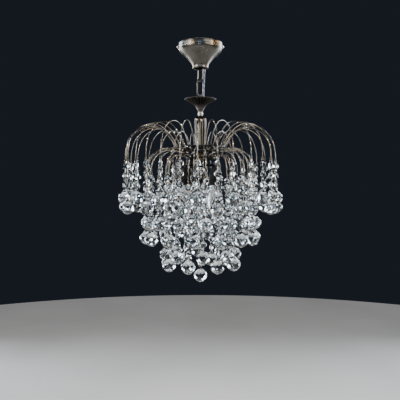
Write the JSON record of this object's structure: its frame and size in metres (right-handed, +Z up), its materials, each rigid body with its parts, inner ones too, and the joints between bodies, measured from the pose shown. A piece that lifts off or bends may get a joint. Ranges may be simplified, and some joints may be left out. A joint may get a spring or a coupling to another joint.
{
  "type": "crystal pendant chandelier",
  "caption": "Small hanging chandelier: curved wire fronds in tiers carry swinging strands of linked crystal beads and balls around a fluted column on a chain.",
  "frame": {"origin": "centre of the ceiling plate's top face, where the fitting meets the ceiling", "axes": "+Z up along the stem, -Y towards the viewer, +X to the viewer's right"},
  "size_m": [0.3457, 0.3499, 0.5117],
  "materials": {
    "pewter": "antique pewter, satin, with dark recesses",
    "dark_pewter": "blackened pewter, satin",
    "nickel": "warm nickel plate, bright",
    "brass": "aged brass, satin",
    "crystal": "clear cut crystal, polished facets",
    "lamp_glass": "pearl lamp glass",
    "black_plastic": "black moulded plastic",
    "white_plastic": "white moulded plastic",
    "flex_pvc": "silvery clear PVC over tinned braid"
  },
  "bodies": {
    "ceiling": {"ceiling_plate": "dark_pewter", "ceiling_cup": "pewter", "cup_screw_left": "pewter", "cup_screw_right": "pewter", "ceiling_hook": "pewter", "hook_nut": "pewter", "terminal_block": "white_plastic"},
    "chain": {"chain_link_lower": "pewter", "chain_link_upper": "pewter", "flex": "flex_pvc"},
    "chandelier": {"suspension_eye": "pewter", "coupler": "pewter", "drip_pan": "dark_pewter", "neck_collar": "nickel", "stem_tube": "pewter", "inner_wires": "white_plastic", "column": "pewter", "column_foot": "brass", "hub_spider": "dark_pewter", "outer_fronds": "nickel", "middle_tier": "crystal", "lower_tier": "crystal", "lamp_spider": "dark_pewter", "lampholder_1": "black_plastic", "lampholder_2": "black_plastic", "lampholder_3": "black_plastic", "bulb_1": "lamp_glass", "bulb_2": "lamp_glass", "bulb_3": "lamp_glass", "finial": "nickel"},
    "centre_strand": {"centre_strand": "crystal"},
    "outer_strand_01": {"outer_strand_01": "crystal"},
    "outer_strand_02": {"outer_strand_02": "crystal"},
    "outer_strand_03": {"outer_strand_03": "crystal"},
    "outer_strand_04": {"outer_strand_04": "crystal"},
    "outer_strand_05": {"outer_strand_05": "crystal"},
    "outer_strand_06": {"outer_strand_06": "crystal"},
    "outer_strand_07": {"outer_strand_07": "crystal"},
    "outer_strand_08": {"outer_strand_08": "crystal"},
    "outer_strand_09": {"outer_strand_09": "crystal"},
    "outer_strand_10": {"outer_strand_10": "crystal"},
    "outer_strand_11": {"outer_strand_11": "crystal"},
    "outer_strand_12": {"outer_strand_12": "crystal"},
    "outer_strand_13": {"outer_strand_13": "crystal"},
    "outer_strand_14": {"outer_strand_14": "crystal"},
    "outer_strand_15": {"outer_strand_15": "crystal"},
    "outer_strand_16": {"outer_strand_16": "crystal"},
    "outer_strand_17": {"outer_strand_17": "crystal"},
    "outer_strand_18": {"outer_strand_18": "crystal"},
    "outer_strand_19": {"outer_strand_19": "crystal"},
    "outer_strand_20": {"outer_strand_20": "crystal"},
    "outer_strand_21": {"outer_strand_21": "crystal"},
    "outer_strand_22": {"outer_strand_22": "crystal"},
    "outer_strand_23": {"outer_strand_23": "crystal"},
    "outer_strand_24": {"outer_strand_24": "crystal"},
    "outer_strand_25": {"outer_strand_25": "crystal"},
    "outer_strand_26": {"outer_strand_26": "crystal"},
    "outer_strand_27": {"outer_strand_27": "crystal"},
    "outer_strand_28": {"outer_strand_28": "crystal"}
  },
  "joints": [
    {"name": "chain_swing", "type": "hinge", "parent": "ceiling", "child": "chain", "pos_m": [0, 0, -0.0456], "axis": [0, 1, 0], "range_deg": [-8, 8], "deforming": ["flex"]},
    {"name": "body_tilt", "type": "hinge", "parent": "chain", "child": "chandelier", "pos_m": [0, 0, -0.1128], "axis": [1, 0, 0], "range_deg": [-12, 12], "deforming": ["flex"]},
    {"name": "centre_strand_swing", "type": "hinge", "parent": "chandelier", "child": "centre_strand", "pos_m": [0, 0, -0.2873], "axis": [0, 1, 0], "range_deg": [-6, 6]},
    {"name": "outer_strand_01_swing", "type": "hinge", "parent": "chandelier", "child": "outer_strand_01", "pos_m": [-0.00558, -0.1599, -0.2563], "axis": [-0.9994, 0.0349, 0], "range_deg": [-9, 15]},
    {"name": "outer_strand_02_swing", "type": "hinge", "parent": "chandelier", "child": "outer_strand_02", "pos_m": [0.03204, -0.15676, -0.2563], "axis": [-0.9797, -0.2003, 0], "range_deg": [-9, 15]},
    {"name": "outer_strand_03_swing", "type": "hinge", "parent": "chandelier", "child": "outer_strand_03", "pos_m": [0.06172, -0.14762, -0.2563], "axis": [-0.9226, -0.3857, 0], "range_deg": [-9, 15]},
    {"name": "outer_strand_04_swing", "type": "hinge", "parent": "chandelier", "child": "outer_strand_04", "pos_m": [0.09715, -0.12713, -0.2563], "axis": [-0.7945, -0.6072, 0], "range_deg": [-9, 15]},
    {"name": "outer_strand_05_swing", "type": "hinge", "parent": "chandelier", "child": "outer_strand_05", "pos_m": [0.12121, -0.10444, -0.2563], "axis": [-0.6528, -0.7576, 0], "range_deg": [-9, 15]},
    {"name": "outer_strand_06_swing", "type": "hinge", "parent": "chandelier", "child": "outer_strand_06", "pos_m": [0.14092, -0.07577, -0.2563], "axis": [-0.4736, -0.8808, 0], "range_deg": [-9, 15]},
    {"name": "outer_strand_07_swing", "type": "hinge", "parent": "chandelier", "child": "outer_strand_07", "pos_m": [0.15534, -0.03834, -0.2563], "axis": [-0.2396, -0.9709, 0], "range_deg": [-9, 15]},
    {"name": "outer_strand_08_swing", "type": "hinge", "parent": "chandelier", "child": "outer_strand_08", "pos_m": [0.15979, -0.00813, -0.2563], "axis": [-0.0508, -0.9987, 0], "range_deg": [-9, 15]},
    {"name": "outer_strand_09_swing", "type": "hinge", "parent": "chandelier", "child": "outer_strand_09", "pos_m": [0.15695, 0.03111, -0.2563], "axis": [0.1944, -0.9809, 0], "range_deg": [-9, 15]},
    {"name": "outer_strand_10_swing", "type": "hinge", "parent": "chandelier", "child": "outer_strand_10", "pos_m": [0.14605, 0.06535, -0.2563], "axis": [0.4084, -0.9128, 0], "range_deg": [-9, 15]},
    {"name": "outer_strand_11_swing", "type": "hinge", "parent": "chandelier", "child": "outer_strand_11", "pos_m": [0.13003, 0.09323, -0.2563], "axis": [0.5827, -0.8127, 0], "range_deg": [-9, 15]},
    {"name": "outer_strand_12_swing", "type": "hinge", "parent": "chandelier", "child": "outer_strand_12", "pos_m": [0.10197, 0.1233, -0.2563], "axis": [0.7706, -0.6373, 0], "range_deg": [-9, 15]},
    {"name": "outer_strand_13_swing", "type": "hinge", "parent": "chandelier", "child": "outer_strand_13", "pos_m": [0.07568, 0.14097, -0.2563], "axis": [0.8811, -0.473, 0], "range_deg": [-9, 15]},
    {"name": "outer_strand_14_swing", "type": "hinge", "parent": "chandelier", "child": "outer_strand_14", "pos_m": [0.04162, 0.15449, -0.2563], "axis": [0.9656, -0.2601, 0], "range_deg": [-9, 15]},
    {"name": "outer_strand_15_swing", "type": "hinge", "parent": "chandelier", "child": "outer_strand_15", "pos_m": [0.00324, 0.15997, -0.2563], "axis": [0.9998, -0.0202, 0], "range_deg": [-9, 15]},
    {"name": "outer_strand_16_swing", "type": "hinge", "parent": "chandelier", "child": "outer_strand_16", "pos_m": [-0.02734, 0.15765, -0.2563], "axis": [0.9853, 0.1708, 0], "range_deg": [-9, 15]},
    {"name": "outer_strand_17_swing", "type": "hinge", "parent": "chandelier", "child": "outer_strand_17", "pos_m": [-0.06604, 0.14574, -0.2563], "axis": [0.9108, 0.4127, 0], "range_deg": [-9, 15]},
    {"name": "outer_strand_18_swing", "type": "hinge", "parent": "chandelier", "child": "outer_strand_18", "pos_m": [-0.09543, 0.12843, -0.2563], "axis": [0.8027, 0.5964, 0], "range_deg": [-9, 15]},
    {"name": "outer_strand_19_swing", "type": "hinge", "parent": "chandelier", "child": "outer_strand_19", "pos_m": [-0.12021, 0.10559, -0.2563], "axis": [0.66, 0.7513, 0], "range_deg": [-9, 15]},
    {"name": "outer_strand_20_swing", "type": "hinge", "parent": "chandelier", "child": "outer_strand_20", "pos_m": [-0.14296, 0.07186, -0.2563], "axis": [0.4491, 0.8935, 0], "range_deg": [-9, 15]},
    {"name": "outer_strand_21_swing", "type": "hinge", "parent": "chandelier", "child": "outer_strand_21", "pos_m": [-0.15407, 0.04315, -0.2563], "axis": [0.2697, 0.9629, 0], "range_deg": [-9, 15]},
    {"name": "outer_strand_22_swing", "type": "hinge", "parent": "chandelier", "child": "outer_strand_22", "pos_m": [-0.15992, 0.0052, -0.2563], "axis": [0.0325, 0.9995, 0], "range_deg": [-9, 15]},
    {"name": "outer_strand_23_swing", "type": "hinge", "parent": "chandelier", "child": "outer_strand_23", "pos_m": [-0.15682, -0.03175, -0.2563], "axis": [-0.1984, 0.9801, 0], "range_deg": [-9, 15]},
    {"name": "outer_strand_24_swing", "type": "hinge", "parent": "chandelier", "child": "outer_strand_24", "pos_m": [-0.14759, -0.06177, -0.2563], "axis": [-0.3861, 0.9225, 0], "range_deg": [-9, 15]},
    {"name": "outer_strand_25_swing", "type": "hinge", "parent": "chandelier", "child": "outer_strand_25", "pos_m": [-0.127, -0.09732, -0.2563], "axis": [-0.6083, 0.7937, 0], "range_deg": [-9, 15]},
    {"name": "outer_strand_26_swing", "type": "hinge", "parent": "chandelier", "child": "outer_strand_26", "pos_m": [-0.10473, -0.12096, -0.2563], "axis": [-0.756, 0.6545, 0], "range_deg": [-9, 15]},
    {"name": "outer_strand_27_swing", "type": "hinge", "parent": "chandelier", "child": "outer_strand_27", "pos_m": [-0.07547, -0.14108, -0.2563], "axis": [-0.8818, 0.4717, 0], "range_deg": [-9, 15]},
    {"name": "outer_strand_28_swing", "type": "hinge", "parent": "chandelier", "child": "outer_strand_28", "pos_m": [-0.03846, -0.15531, -0.2563], "axis": [-0.9707, 0.2404, 0], "range_deg": [-9, 15]}
  ]
}
